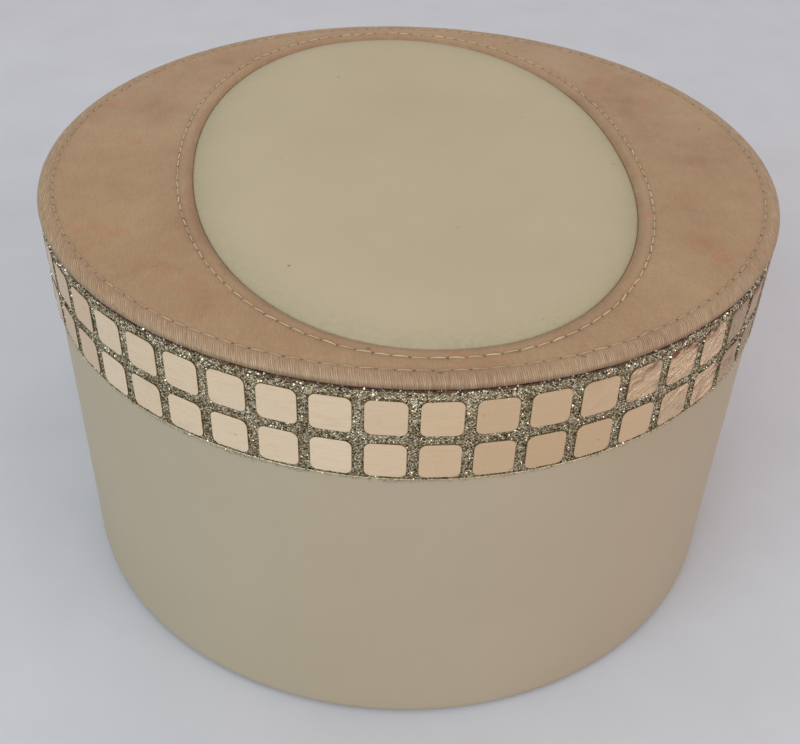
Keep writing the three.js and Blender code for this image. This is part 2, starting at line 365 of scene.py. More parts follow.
def satin_material():
    """Satin whose threads run front to back and show most on the roll, with painted highlights on their tops
    there, yellowed areas, soft stains, reddish spots, dark specks, and brown grime mixed with painted shade
    where the mesh is marked: in the hem's groove, under the roll and along the stitching."""
    material, tree, bsdf = new_material("lid_satin")
    place = coordinates(tree)
    split = tree.nodes.new("ShaderNodeSeparateXYZ")
    tree.links.new(place, split.inputs[0])
    reach = tree.nodes.new("ShaderNodeVectorMath")
    reach.operation = "LENGTH"
    tree.links.new(stretched(tree, place, (1.0, 1.0, 0.0)), reach.inputs[0])
    on_roll = between(tree, reach.outputs["Value"], ROLL_FROM * MM, ROLL_FULL * MM)

    wander = times(tree, noise(tree, 180, 2.0, 0.5, place), 8.0)
    across = math_node(tree, "MULTIPLY_ADD", split.outputs[2], RIB_LEAN, split.outputs[0])
    ribs = math_node(tree, "SINE", plus(tree, times(tree, across, TAU / (RIB_PITCH * MM)), wander))
    streak = noise(tree, 4600, 3.0, 0.7, stretched(tree, place, (1.0, 0.06, 0.06)))
    height = plus(tree, times(tree, ribs, 0.2), times(tree, less_half(tree, streak), 1.6))
    crepe = times(tree, less_half(tree, noise(tree, 1300, 3.0, 0.7, place)), 0.3)
    contrast = math_node(tree, "MULTIPLY_ADD", on_roll, 0.5, 0.22)
    tone = plus(tree, times(tree, height, contrast), plus(tree, crepe, 1.0))

    color = ramp(tree, noise(tree, 52, 8.0, 0.72, place),
                 [(0.28, srgb(150, 109, 74)), (0.44, srgb(161, 124, 90)), (0.56, srgb(166, 131, 98)),
                  (0.74, srgb(178, 145, 115))])
    yellowed = times(tree, between(tree, noise(tree, 26, 5.0, 0.6, place), 0.42, 0.66), 0.55)
    # Painted highlights: thread tops on the roll are mixed towards a pale tone, over a roll ground that is
    # mixed darker and threads with raised tone contrast
    pale = times(tree, on_roll, between(tree, height, 0.05, 0.5))
    # Brown grime mixed with painted shade: in the hem's groove, under the roll and along the stitching
    dirt_and_shade = times(tree, attribute(tree, "wear_and_shade"), between(tree, noise(tree, 420, 4.0, 0.6, place), 0.15, 0.55))
    rust = times(tree, between(tree, noise(tree, 130, 2.0, 0.5, place), 0.64, 0.74), 0.4)
    specks = times(tree, between(tree, noise(tree, 420, 1.0, 0.5, place), 0.77, 0.82), 0.6)
    color = mixed(tree, yellowed, color, srgb(168, 131, 90))
    color = mixed(tree, times(tree, on_roll, 0.45), color, srgb(148, 119, 92))
    color = mixed(tree, times(tree, pale, 0.4), color, srgb(202, 182, 164))
    color = mixed(tree, dirt_and_shade, color, srgb(104, 72, 46))
    color = mixed(tree, rust, color, srgb(172, 106, 72))
    color = mixed(tree, specks, color, srgb(98, 70, 44))
    shade = tree.nodes.new("ShaderNodeVectorMath")
    shade.operation = "SCALE"
    tree.links.new(color, shade.inputs[0])
    tree.links.new(tone, shade.inputs["Scale"])
    tree.links.new(shade.outputs[0], bsdf.inputs["Base Color"])

    fine = bump(tree, bsdf, height, 0.5, 0.00012)
    bump(tree, bsdf, noise(tree, 140, 3.0, 0.5, place), 0.14, 0.0008, fine)
    set_roughness(tree, bsdf, noise(tree, 300, 3.0, 0.5, place), 0.4, 0.56)
    bsdf.inputs["Sheen Weight"].default_value = 0.1
    bsdf.inputs["Sheen Roughness"].default_value = 0.4
    return material


def inset_material():
    """Smooth leatherette: calm tone, scuffs and soiling towards the edge, darkened there with painted shade
    as well, and a few tiny dark specks.
    """
    material, tree, bsdf = new_material("inset_leatherette")
    place = coordinates(tree)
    color = ramp(tree, noise(tree, 22, 5.0, 0.6, place),
                 [(0.3, srgb(176, 159, 130)), (0.7, srgb(184, 167, 138))])
    near_edge = attribute(tree, "wear_and_shade")
    rubbed = times(tree, between(tree, noise(tree, 900, 7.0, 0.75, place), 0.45, 0.75), 0.45)
    # Darker towards the edge: soiling and painted shade together
    soiled_and_shaded = times(tree, math_node(tree, "POWER", near_edge, 1.7), 0.5)
    scuff_and_shade = plus(tree, times(tree, near_edge, rubbed), soiled_and_shaded)
    specks = times(tree, between(tree, noise(tree, 430, 1.0, 0.5, place), 0.8, 0.84), 0.7)
    color = mixed(tree, scuff_and_shade, color, srgb(146, 134, 104))
    color = mixed(tree, specks, color, srgb(112, 88, 66))
    tree.links.new(color, bsdf.inputs["Base Color"])
    fine = noise(tree, 3600, 3.0, 0.6, place)
    set_roughness(tree, bsdf, fine, 0.48, 0.62)
    grain = bump(tree, bsdf, fine, 0.2, GRAIN_DEPTH)
    bump(tree, bsdf, noise(tree, 60, 2.0, 0.55, place), 0.08, COARSE_DEPTH, grain)
    return material


CREASE_SLANT = (0.0, 0.6, -0.8)
CREASE_DEPTH = 0.0011


def foil_material():
    """Champagne foil in each tile's own tint, which also holds a painted reflection, with faint drawn
    streaks. Where the mesh is marked as hammered it has slanting creases with brown painted reflections in
    them, and where it is marked as top it has maroon blotches."""
    material, tree, bsdf = new_material("mirror_foil")
    place = coordinates(tree)
    hammer = attribute(tree, "hammer")
    color = ramp(tree, attribute(tree, "tint"),
                 [(0.0, srgb(148, 122, 88)), (0.25, srgb(212, 178, 140)), (0.6, srgb(228, 196, 160)),
                  (1.0, srgb(243, 218, 186))])
    drawn = noise(tree, 260, 4.0, 0.65, stretched(tree, place, (1.0, 1.0, 9.0)))
    slant = tree.nodes.new("ShaderNodeVectorRotate")
    slant.rotation_type = "EULER_XYZ"
    slant.inputs["Rotation"].default_value = CREASE_SLANT
    tree.links.new(place, slant.inputs["Vector"])
    creases = noise(tree, 330, 3.0, 0.6, stretched(tree, slant.outputs[0], (1.0, 1.0, 3.2)))

    painted_reflection_patches = between(tree, noise(tree, 190, 3.0, 0.6, place), 0.38, 0.62)
    folds = times(tree, between(tree, creases, 0.5, 0.66), times(tree, hammer, 0.8))
    blotch = times(tree, attribute(tree, "top"), between(tree, noise(tree, 300, 3.0, 0.6, place), 0.4, 0.56))
    specks = times(tree, between(tree, noise(tree, 620, 1.0, 0.5, place), 0.76, 0.82), 0.6)
    color = mixed(tree, between(tree, drawn, 0.5, 1.1), color, srgb(206, 172, 134))
    # Brown painted reflections in the creases
    color = mixed(tree, times(tree, folds, painted_reflection_patches), color, srgb(146, 92, 58))
    color = mixed(tree, blotch, color, srgb(116, 40, 26))
    color = mixed(tree, specks, color, srgb(150, 108, 80))
    tree.links.new(color, bsdf.inputs["Base Color"])

    creased = node(tree, "ShaderNodeBump", Distance=CREASE_DEPTH)
    tree.links.new(hammer, creased.inputs["Strength"])
    tree.links.new(creases, creased.inputs["Height"])
    bump(tree, bsdf, drawn, 0.04, GRAIN_DEPTH, creased.outputs["Normal"])
    set_roughness(tree, bsdf, noise(tree, 120, 3.0, 0.5, place), 0.18, 0.34)
    bsdf.inputs["Metallic"].default_value = 0.55
    return material


def grain_material():
    """Bright metal grains, each in its own tint."""
    material, tree, bsdf = new_material("glitter")
    tone = ramp(tree, attribute(tree, "tint"),
                [(0.0, srgb(78, 62, 41)), (0.4, srgb(160, 141, 109)), (0.75, srgb(224, 209, 180)),
                 (1.0, srgb(248, 240, 224))])
    tree.links.new(tone, bsdf.inputs["Base Color"])
    set_roughness(tree, bsdf, noise(tree, 700, 4.0, 0.55, coordinates(tree)), 0.12, 0.3)
    bsdf.inputs["Metallic"].default_value = 0.7
    return material


KNIT_FOLD, KNIT_PITCH = 0.45, 0.62


def ribbon_material():
    """Ribbon ground: fine knitted chevrons broken into small cells, from dark brown to pale gold."""
    material, tree, bsdf = new_material("ribbon_ground")
    cells = node(tree, "ShaderNodeTexVoronoi", Scale=3300.0)
    tree.links.new(coordinates(tree), cells.inputs["Vector"])
    split = tree.nodes.new("ShaderNodeSeparateColor")
    tree.links.new(cells.outputs["Color"], split.inputs[0])
    across = tree.nodes.new("ShaderNodeSeparateXYZ")
    tree.links.new(coordinates(tree, "UV"), across.inputs[0])
    folded = math_node(tree, "PINGPONG", across.outputs[0], KNIT_FOLD)
    knit = math_node(tree, "SINE", times(tree, plus(tree, across.outputs[1], folded), TAU / KNIT_PITCH))
    tone = ramp(tree, plus(tree, split.outputs[0], times(tree, knit, 0.16)),
                [(0.0, srgb(60, 48, 31)), (0.3, srgb(122, 104, 77)), (0.65, srgb(174, 154, 121)),
                 (0.9, srgb(216, 200, 169)), (1.0, srgb(240, 230, 208))])
    tree.links.new(tone, bsdf.inputs["Base Color"])
    bump(tree, bsdf, plus(tree, split.outputs[1], knit), 0.6, 0.00012)
    set_roughness(tree, bsdf, split.outputs[2], 0.2, 0.5)
    bsdf.inputs["Metallic"].default_value = 0.5
    return material


satin = satin_material()
inset_leather = inset_material()
foil = foil_material()
sparkle = grain_material()
ribbon_cloth = ribbon_material()


# Satin panel

STITCH_R = 72.0
STITCH_OFF = 3.0
STITCH_PITCH = 3.0
OUTER_STITCHES = 151
SEGMENTS = OUTER_STITCHES * 8


def stitch_path(points):
    """Arc length round a closed line of points, and its whole length."""
    step = np.linalg.norm(np.diff(points, axis=0, append=points[:1]), axis=1)
    return np.concatenate([[0], np.cumsum(step)])[:-1], step.sum()


around = angles(SEGMENTS)
oval_line = oval(OVAL_X + STITCH_OFF, OVAL_Y + STITCH_OFF, 0, around)
oval_arc, oval_length = stitch_path(oval_line)
INNER_STITCHES = round(oval_length / STITCH_PITCH)
outer_phase = (around - SEAM_ANGLE) / TAU * OUTER_STITCHES
inner_phase = oval_arc / oval_length * INNER_STITCHES

PULL, PULL_VARIES, PULL_REACH = 0.12, 0.06, 0.7
# Grime and painted shade along the stitching, in the valleys the thread pulls
STITCH_DIRT_AND_SHADE, DIRT_AND_SHADE_REACH = 0.3, 0.5


def tuck(distance, phase):
    """How far stitching pulls the satin down, deepest at the needle holes."""
    pull = PULL + PULL_VARIES * np.cos(TAU * phase)
    return -pull * np.exp(-(distance / PULL_REACH) ** 2)


def stitch_wear_and_shade(distance):
    return STITCH_DIRT_AND_SHADE * np.exp(-(distance / DIRT_AND_SHADE_REACH) ** 2)


def wave(seed, count, low, high):
    """A smooth random wobble round the lid, between minus one and one."""
    source = np.random.default_rng(seed)
    total = np.zeros(SEGMENTS)
    for turns in source.integers(low, high, count):
        total += source.normal() * np.sin(turns * around + source.uniform(0, TAU))
    return total / np.abs(total).max()


rim_wobble = wave(3, 14, 5, 60)
hem_wobble = wave(4, 14, 5, 60)
roll_wobble = wave(5, 24, 12, 110)

# Profiles: distance in from the rim and down from the top for the roll, out from the oval and up for the hem
ROLL = [(1.1, 2.0), (0.4, 1.95), (0, 1.35), (0.25, 0.65), (1.0, 0.18), (2.4, 0)]
ROLL_UNDER = [(2.1, 0.55), (0.8, 1.1), (1.1, 1.5)]
HEM = [(3.7, 0), (2.2, -0.08), (1.1, -0.27), (0.35, -0.55), (0, -0.86), (0.05, PAD_Z - SATIN_Z)]
HEM_UNDER = [(0.55, PAD_Z - SATIN_Z), (0.6, -1.35), (1.3, -0.9), (2.3, -0.6)]
VALLEY = [0.35, 0.15, 0.0, -0.15, -0.35, -0.65, -1.0, -1.4]
PANEL_EDGE = STITCH_R + VALLEY[-1]
PANEL_STEPS = 24
PANEL_CROWN, CROWN_SPAN = 0.16, 22
EDGE_UNEVEN, ROLL_UNEVEN, PANEL_UNEVEN = 0.05, 0.13, 0.03
# Grime and painted shade low on the roll and down into the hem's groove
ROLL_DIRT_AND_SHADE, HEM_DIRT_AND_SHADE = 0.9, 0.45
UNEVEN_BELOW, DIRT_AND_SHADE_BELOW = 0.8, 0.6
ROLL_FADE, HEM_FADE = 1.2, 1.8


def satin_rings():
    """Rings from under the roll, over the panel and down the hem, with how much grime and painted shade each
    one gets.
    """
    rings, wear_and_shade = [], []

    def add(ring, dirt_and_shade):
        rings.append(ring)
        wear_and_shade.append(np.broadcast_to(dirt_and_shade, SEGMENTS))

    for inset, drop in curve_through(ROLL):
        ring = circle(LID_R - inset, SATIN_Z - drop, around)
        distance = LID_R - inset - STITCH_R
        ring[:, 2] += EDGE_UNEVEN * rim_wobble * min(1, inset) + tuck(distance, outer_phase)
        ring[:, 2] += ROLL_UNEVEN * roll_wobble * np.clip((drop - UNEVEN_BELOW) / ROLL_FADE, 0, 1)
        add(ring, stitch_wear_and_shade(distance) + ROLL_DIRT_AND_SHADE * np.clip((drop - DIRT_AND_SHADE_BELOW) / ROLL_FADE, 0, 1))
    for distance in VALLEY:
        ring = circle(STITCH_R + distance, SATIN_Z, around)
        ring[:, 2] += tuck(distance, outer_phase)
        add(ring, stitch_wear_and_shade(distance))
    edge = circle(PANEL_EDGE, 0, around)
    hem = oval(OVAL_X + HEM[0][0], OVAL_Y + HEM[0][0], 0, around)
    gap = np.linalg.norm(edge - hem, axis=1)
    for t in np.linspace(0, 1, PANEL_STEPS + 2)[1:-1]:
        ring = edge + (hem - edge) * t
        outer = t * gap - VALLEY[-1]
        inner = (1 - t) * gap + HEM[0][0] - STITCH_OFF
        crown = PANEL_CROWN * np.sin(math.pi * t) * np.clip(gap / CROWN_SPAN, 0, 1)
        ring[:, 2] = SATIN_Z + crown + PANEL_UNEVEN * (rim_wobble * (1 - t) + hem_wobble * t)
        ring[:, 2] += tuck(outer, outer_phase) + tuck(inner, inner_phase)
        add(ring, stitch_wear_and_shade(outer) + stitch_wear_and_shade(inner))
    for offset, rise in curve_through(HEM):
        ring = oval(OVAL_X + offset, OVAL_Y + offset, SATIN_Z + rise, around)
        distance = offset - STITCH_OFF
        ring[:, 2] += tuck(distance, inner_phase) + EDGE_UNEVEN * hem_wobble * min(1, offset)
        add(ring, stitch_wear_and_shade(distance) + HEM_DIRT_AND_SHADE * np.clip((HEM_FADE - offset) / HEM_FADE, 0, 1))
    for offset, rise in HEM_UNDER:
        add(oval(OVAL_X + offset, OVAL_Y + offset, SATIN_Z + rise, around), 0)
    for inset, drop in ROLL_UNDER:
        add(circle(LID_R - inset, SATIN_Z - drop, around), 0)
    return rings, np.clip(wear_and_shade, 0, 1)


satin_shape, satin_wear_and_shade = satin_rings()
satin_top = ring_grid("satin_panel", satin_shape, satin, True, TAU * LID_R)
set_values(satin_top, "wear_and_shade", satin_wear_and_shade.ravel())
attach(satin_top, "lid")
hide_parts("satin_cover")


# Stitching

STITCH_SIDES, STITCH_STEPS = 8, 9
STITCH_LEAD, STITCH_SHARE = 0.07, 0.86
STITCH_SINK, STITCH_ARCH = 0.2, 0.15
THREAD_END, THREAD_SWELL = 0.06, 0.09
RIM_STITCH_Z, OVAL_STITCH_Z = SATIN_Z + 0.02, SATIN_Z + 0.04
HOLE_SINK = 0.17
HOLE_RINGS = [(0.23, 0.0), (0.15, 0.03)]


def stitches(name, count, point_at, z_at, body, material):
    """A row of thread stitches that dip at their ends, with dark discs of painted shade for the needle holes
    between them; point_at gives the place at 0 to 1 along the row."""
    verts, faces, marks = [], [], []
    along = np.linspace(0, 1, STITCH_STEPS)
    bow = np.sin(math.pi * along) ** 0.6
    turns = TAU * np.arange(STITCH_SIDES) / STITCH_SIDES
    for k in range(count):
        skew, plump, sunk = rng.normal(0, 0.1), rng.uniform(0.5, 1.1), rng.uniform(0, 0.07)
        path = np.array([point_at((k + STITCH_LEAD + STITCH_SHARE * t) / count) for t in along])
        tangent = (path[-1] - path[0]) / np.linalg.norm(path[-1] - path[0])
        across = np.array([-tangent[1], tangent[0], 0])
        path += across * skew * np.linspace(-1, 1, STITCH_STEPS)[:, None]
        path += UP * (z_at - STITCH_SINK - sunk + STITCH_ARCH * bow)[:, None]
        start = len(verts)
        for centre, thick in zip(path, plump * (THREAD_END + THREAD_SWELL * bow)):
            verts += [centre + thick * (across * math.cos(turn) + UP * math.sin(turn)) for turn in turns]
        faces += closed_tube(start, STITCH_SIDES, STITCH_STEPS)
        marks += [0] * (len(faces) - len(marks))
        hole = point_at(k / count)
        start = len(verts)
        for radius, lift in HOLE_RINGS:
            level = z_at - HOLE_SINK + lift
            verts += [hole + (radius * math.cos(turn), radius * math.sin(turn), level) for turn in turns]
        faces += tube_faces(start, STITCH_SIDES, len(HOLE_RINGS))
        faces.append(tuple(range(len(verts) - STITCH_SIDES, len(verts))))
        marks += [1] * (len(faces) - len(marks))
    obj = add_mesh(name, verts, faces, [material, needle_hole_shade])
    obj.data.polygons.foreach_set("material_index", np.array(marks, np.int32))
    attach(obj, body)


def on_circle(t):
    a = SEAM_ANGLE + t * TAU
    return np.array([STITCH_R * math.sin(a), -STITCH_R * math.cos(a), 0])


def on_oval(t):
    a = np.interp(t % 1 * oval_length, np.append(oval_arc, oval_length), np.append(around, around[0] + TAU))
    return oval(OVAL_X + STITCH_OFF, OVAL_Y + STITCH_OFF, 0, np.array([a]))[0]


stitches("stitching_rim", OUTER_STITCHES, on_circle, RIM_STITCH_Z, "lid", rim_thread)
stitches("stitching_oval", INNER_STITCHES, on_oval, OVAL_STITCH_Z, "lid", thread)


# Inset panel

INSET_GAP = 0.04
INSET_FLAT = 3.6
INSET_EDGE = [(0, 86.66), (0.25, 86.91), (0.7, 87.12), (1.4, 87.29), (2.3, 87.43), (INSET_FLAT, 87.52)]
INSET_UNDER = [(1.6, 86.76), (0.65, 86.45), (0.6, PAD_Z), (0.1, PAD_Z)]
INSET_CROWN, INSET_THICK = 0.48, 0.5
INSET_TOP = INSET_EDGE[-1][1]
INSET_MEAN_R = 55
# How far in from the edge the scuffs, soiling and painted shade reach, on the top only
WEAR_AND_SHADE_ABOVE, WEAR_AND_SHADE_REACH = 86, 4.0


def inset_rings():
    """Rings from the middle of the underside, round the edge and over the crown to the middle of the top."""
    a = angles(INSET_POINTS)
    rings, wear_and_shade = [], []

    def add(draw, scale, z):
        ring = oval((OVAL_X - INSET_GAP - draw) * scale, (OVAL_Y - INSET_GAP - draw) * scale, z, a)
        rings.append(ring)
        from_edge = np.linalg.norm(ring[:, :2] - oval(OVAL_X, OVAL_Y, 0, a)[:, :2], axis=1)
        wear_and_shade.append(np.exp(-from_edge / WEAR_AND_SHADE_REACH) if z > WEAR_AND_SHADE_ABOVE else 0 * a)

    for scale in np.linspace(0, 1, 6):
        add(INSET_FLAT, scale, INSET_TOP - INSET_THICK + INSET_CROWN * (1 - scale ** 2))
    for draw, z in [*INSET_UNDER, *curve_through(INSET_EDGE)]:
        add(draw, 1, z)
    for scale in np.linspace(1, 0, 40)[1:]:
        add(INSET_FLAT, scale, INSET_TOP + INSET_CROWN * (1 - scale ** 2))
    return rings, np.concatenate([wear_and_shade[0][:1], *wear_and_shade[1:-1], wear_and_shade[-1][:1]])


inset_shape, inset_wear_and_shade = inset_rings()
inset = ring_grid("inset_panel", inset_shape, inset_leather, False, TAU * INSET_MEAN_R)
set_values(inset, "wear_and_shade", inset_wear_and_shade)
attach(inset, "lid")
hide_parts("inset_cover")


# Glitter ribbon

RIBBON_BACK, RIBBON_ROUND = 74.0, 0.15
ribbon_face = [(RIBBON_R - RIBBON_ROUND, RIBBON_LOW), (RIBBON_R, RIBBON_LOW + RIBBON_ROUND),
               (RIBBON_R, RIBBON_TOP - RIBBON_ROUND), (RIBBON_R - RIBBON_ROUND, RIBBON_TOP)]
ribbon = revolve("glitter_ribbon", [(RIBBON_BACK, RIBBON_LOW), *ribbon_face, (RIBBON_BACK, RIBBON_TOP)],
                 ribbon_cloth, RIBBON_POINTS)
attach(ribbon, "lid")
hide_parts("tile_trim")

GRAIN_PITCH, GRAIN_OUT = 0.42, 0.2
GRAIN_SMALL, GRAIN_LARGE = 0.13, 0.22
GRAIN_ASIDE, GRAIN_ALOFT = 0.4, 0.18
FIRST_GRAINS, LAST_GRAINS = RIBBON_LOW + 0.2, RIBBON_TOP - 0.05
UNDER_TILE = 0.2
TOP_STRIP, TOP_STRIP_GROWTH = 1.2, 1.35
GRAIN_TINTS = [0.0, 0.35, 0.6, 0.8, 1.0]
GRAIN_SHARES = [0.2, 0.25, 0.25, 0.2, 0.1]


def glitter_grains():
    """Small metal grains set close over the ribbon, left out under the tiles, larger along its top edge."""
    pitch = TAU / TILES
    corners = np.array([(1, 1, 1), (1, -1, -1), (-1, 1, -1), (-1, -1, 1)]) / math.sqrt(3)
    sides = [(0, 1, 2), (0, 3, 1), (0, 2, 3), (1, 3, 2)]
    verts, faces, tints = [], [], []
    count = int(TAU * RIBBON_R / GRAIN_PITCH)
    for z in np.arange(FIRST_GRAINS, LAST_GRAINS, GRAIN_PITCH):
        for k in range(count):
            a = (k + rng.uniform(-GRAIN_ASIDE, GRAIN_ASIDE)) / count * TAU
            height = z + rng.uniform(-GRAIN_ALOFT, GRAIN_ALOFT)
            across = ((a / pitch) % 1 - 0.5) * pitch * LID_R
            from_row = min(abs(height - row) for row in TILE_ROWS)
            if abs(across) < TILE_W / 2 - UNDER_TILE and from_row < TILE_H / 2 - UNDER_TILE:
                continue
            turn = Matrix.Rotation(rng.uniform(0, TAU), 3, Vector(rng.normal(size=3)).normalized())
            growth = TOP_STRIP_GROWTH if height > RIBBON_TOP - TOP_STRIP else 1.0
            size = rng.uniform(GRAIN_SMALL, GRAIN_LARGE) * growth
            out = RIBBON_R + rng.uniform(0.0, GRAIN_OUT)
            turned = SEAM_ANGLE + a
            centre = np.array([out * math.sin(turned), -out * math.cos(turned), height])
            faces += [tuple(len(verts) + i for i in side) for side in sides]
            verts += list(corners * size @ np.array(turn) + centre)
            tints += [rng.choice(GRAIN_TINTS, p=GRAIN_SHARES)] * len(corners)
    obj = add_mesh("glitter_grains", verts, faces, sparkle, smooth=False)
    set_values(obj, "tint", tints)
    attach(obj, "lid")


glitter_grains()


# Mirror tiles

TILE_OUT, TILE_BACK = 74.84, 74.45
TILE_DOME = 0.03
TILE_RINGS = [(0.0, TILE_BACK - TILE_OUT), (0.0, -0.05), (0.06, -0.015), (0.13, 0.0), (0.3, 0.0)]
TILE_WALLS = 2
TILE_LEAN = 0.006
SMALLEST_CORNER = 0.15
DENTS, DENT_SPREAD, DENT_WIDTHS = 9, 3.2, (0.7, 1.6)
PLAIN_DENT, CREASED_DENT = 0.004, 0.05
BLOTCHED_FROM, BLOTCHED_RISE = 1.2, 1.6
BRIGHT_TONE, PAINTED_REFLECTION_DRIFT, TONE_VARIES = 0.88, 0.52, 0.04
DRIFT_FROM, DRIFT_SPAN = -0.25, 0.35
RIGHT_DULLS, LEFT_DULLS = 0.3, 0.6

# Angles in degrees round the lid from its front: creased tiles by row, and duller foil at the right and left
CREASED_FROM, CREASED_TO = {TILE_ROWS[0]: 26, TILE_ROWS[1]: 18}, 85
DULL_RIGHT, DULL_LEFT = (40, 85), (51, 85)
FADE = 10


def tile_outline(draw, per_corner=6, per_side=6):
    """Points round a tile, drawn in from its edge, with rounded corners."""
    corner = max(TILE_CORNER - draw, SMALLEST_CORNER)
    half = np.array([TILE_W, TILE_H]) / 2 - draw - corner
    corners = []
    for q, signs in enumerate([(1, -1), (1, 1), (-1, 1), (-1, -1)]):
        turns = np.linspace(-math.pi / 2, 0, per_corner) + q * math.pi / 2
        corners.append(half * signs + corner * np.stack([np.cos(turns), np.sin(turns)], 1))
    points = []
    for here, following in zip(corners, corners[1:] + corners[:1]):
        points += [here, np.linspace(here[-1], following[0], per_side + 2)[1:-1]]
    return np.vstack(points)


def window(turned, first, last):
    """Rises from zero to one just after the first angle, and falls to zero again just after the last."""
    return float(np.clip(min((turned - first) / FADE, (last - turned) / FADE + 1), 0, 1))


def mirror_tiles():
    """Foil tiles in two rows; those at the right of the front are creased, and the tone darkens round to the
    right as a painted reflection.
    """
    verts, faces, marks, tints, hammers, tops = [], [], [], [], [], []
    outlines = [(tile_outline(draw), depth) for draw, depth in TILE_RINGS]
    flat = outlines[-1][0]
    outlines += [(flat * scale, 0.0) for scale in np.linspace(0.86, 0.16, 6)]
    m, rings = len(flat), len(outlines)
    x, z = np.vstack([*(outline for outline, _ in outlines), (0, 0)]).T
    depth = np.append(np.repeat([depth for _, depth in outlines], m), 0.0)
    dome = TILE_DOME * (1 - (2 * x / TILE_W) ** 2) * (1 - (2 * z / TILE_H) ** 2)
    on_face = depth > TILE_BACK - TILE_OUT
    near_top = np.clip((z - BLOTCHED_FROM) / BLOTCHED_RISE, 0, 1)
    for row in TILE_ROWS:
        for k in range(TILES):
            a = SEAM_ANGLE + (k + 0.5) / TILES * TAU
            side = math.sin(a)
            turned = math.degrees(math.atan2(side, math.cos(a)))
            creased = window(turned, CREASED_FROM[row], CREASED_TO)
            lean_x, lean_z = rng.normal(0, TILE_LEAN, 2)
            dents = np.zeros_like(x)
            places = rng.uniform(-1, 1, (DENTS, 2)) * DENT_SPREAD
            for place, d, w in zip(places, rng.normal(0, 1, DENTS), rng.uniform(*DENT_WIDTHS, DENTS)):
                dents += d * np.exp(-((x - place[0]) ** 2 + (z - place[1]) ** 2) / w ** 2)
            uneven = (PLAIN_DENT + CREASED_DENT * creased) * dents + lean_x * x + lean_z * z
            out = TILE_OUT + depth + dome + on_face * uneven
            start, last = len(verts), len(verts) + (rings - 1) * m
            axes = np.array([[math.cos(a), math.sin(a), 0], UP, [side, -math.cos(a), 0]])
            verts += list(np.stack([x, z, out], 1) @ axes + UP * row)
            faces += tube_faces(start, m, rings)
            marks += [1] * (TILE_WALLS * m) + [0] * ((rings - 1 - TILE_WALLS) * m)
            faces += [(last + i, last + (i + 1) % m, last + m) for i in range(m)]
            faces.append(tuple(range(start + m - 1, start - 1, -1)))
            marks += [0] * m + [1]
            # Painted reflection: the foil's tone darkens from the left of the lid round to the right
            painted_reflection = np.clip((side - DRIFT_FROM) / DRIFT_SPAN, 0, 1)
            tone = BRIGHT_TONE - PAINTED_REFLECTION_DRIFT * painted_reflection + rng.normal(0, TONE_VARIES)
            tone -= RIGHT_DULLS * window(turned, *DULL_RIGHT) + LEFT_DULLS * window(-turned, *DULL_LEFT)
            tints += [float(np.clip(tone, 0, 1))] * len(x)
            hammers += [creased + 0.02] * len(x)
            tops += list(creased * near_top * (row == TILE_ROWS[1]))
    obj = add_mesh("mirror_tiles", verts, faces, [foil, foil_edge_and_shade])
    obj.data.polygons.foreach_set("material_index", np.array(marks, np.int32))
    set_values(obj, "tint", tints)
    set_values(obj, "hammer", hammers)
    set_values(obj, "top", tops)
    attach(obj, "lid")


mirror_tiles()


# Glue line that also stands as painted shadow under the roll, edge thread and loose fibres

# A dark strip of glue in the gap between the roll and the ribbon, dark as painted shadow under the roll
GLUE_AND_SHADOW = [(74.4, 84.98), (74.68, 85.02), (74.8, 85.2), (74.74, 85.42), (74.4, 85.5)]
GLUE_AND_SHADOW_LOWER = 3
GLUE_AND_SHADOW_RAGGED = 0.16
glue_and_shadow_rings = [circle(r, z, around) for r, z in GLUE_AND_SHADOW]
ragged = wave(6, 60, 30, 260)
for ring in glue_and_shadow_rings[:GLUE_AND_SHADOW_LOWER]:
    ring[:, 2] += GLUE_AND_SHADOW_RAGGED * ragged
glue_and_shadow = ring_grid("glue_and_shadow_line", glue_and_shadow_rings, dark_glue_and_shadow, True, TAU * LID_R)
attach(glue_and_shadow, "lid")

EDGE_R, EDGE_RISE, EDGE_THICK = 74.66, 0.2, 0.14
edge_turns = np.linspace(0, TAU, 8, endpoint=False)
edge_profile = [(EDGE_R + EDGE_THICK * math.cos(t), RIBBON_LOW + EDGE_RISE + EDGE_THICK * math.sin(t))
                for t in edge_turns]
edge = revolve("ribbon_edge", edge_profile, edge_thread, RIBBON_POINTS)
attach(edge, "lid")

FIBRES = 320
FIBRE_SIDES, FIBRE_STEPS = 3, 5
FIBRE_STANDS_OUT, FIBRE_HANGS, FIBRE_TAPER = 0.125, 0.8, 0.6
FRAYED_AT, FRAYED_SPREAD, FRAYED_SHARE = -0.45, 0.28, 0.5


def loose_fibres():
    """Short fibres frayed from the ribbon's lower edge, many of them at the left of the front."""
    source = np.random.default_rng(11)
    verts, faces = [], []
    spins = TAU * np.arange(FIBRE_SIDES) / FIBRE_SIDES
    for _ in range(FIBRES):
        frayed = source.random() < FRAYED_SHARE
        a = source.normal(FRAYED_AT, FRAYED_SPREAD) if frayed else source.uniform(0, TAU)
        length, lean, thick = source.uniform(0.3, 1.1), source.normal(0, 0.6), source.uniform(0.035, 0.06)
        start = len(verts)
        for t in np.linspace(0, 1, FIBRE_STEPS):
            turn = a + lean * length * t * (1 + 0.5 * t) / RIBBON_R
            side = np.array([math.cos(turn), math.sin(turn), 0])
            front = np.array([math.sin(turn), -math.cos(turn), 0])
            out = RIBBON_R + 0.02 + FIBRE_STANDS_OUT * t * length
            level = RIBBON_LOW + 0.15 - FIBRE_HANGS * t * length
            reach = thick * (1 - FIBRE_TAPER * t)
            centre = front * out + UP * level
            verts += [centre + (side * math.cos(spin) + front * math.sin(spin)) * reach for spin in spins]
        faces += closed_tube(start, FIBRE_SIDES, FIBRE_STEPS)
    obj = add_mesh("loose_fibres", verts, faces, fibre)
    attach(obj, "lid")


loose_fibres()


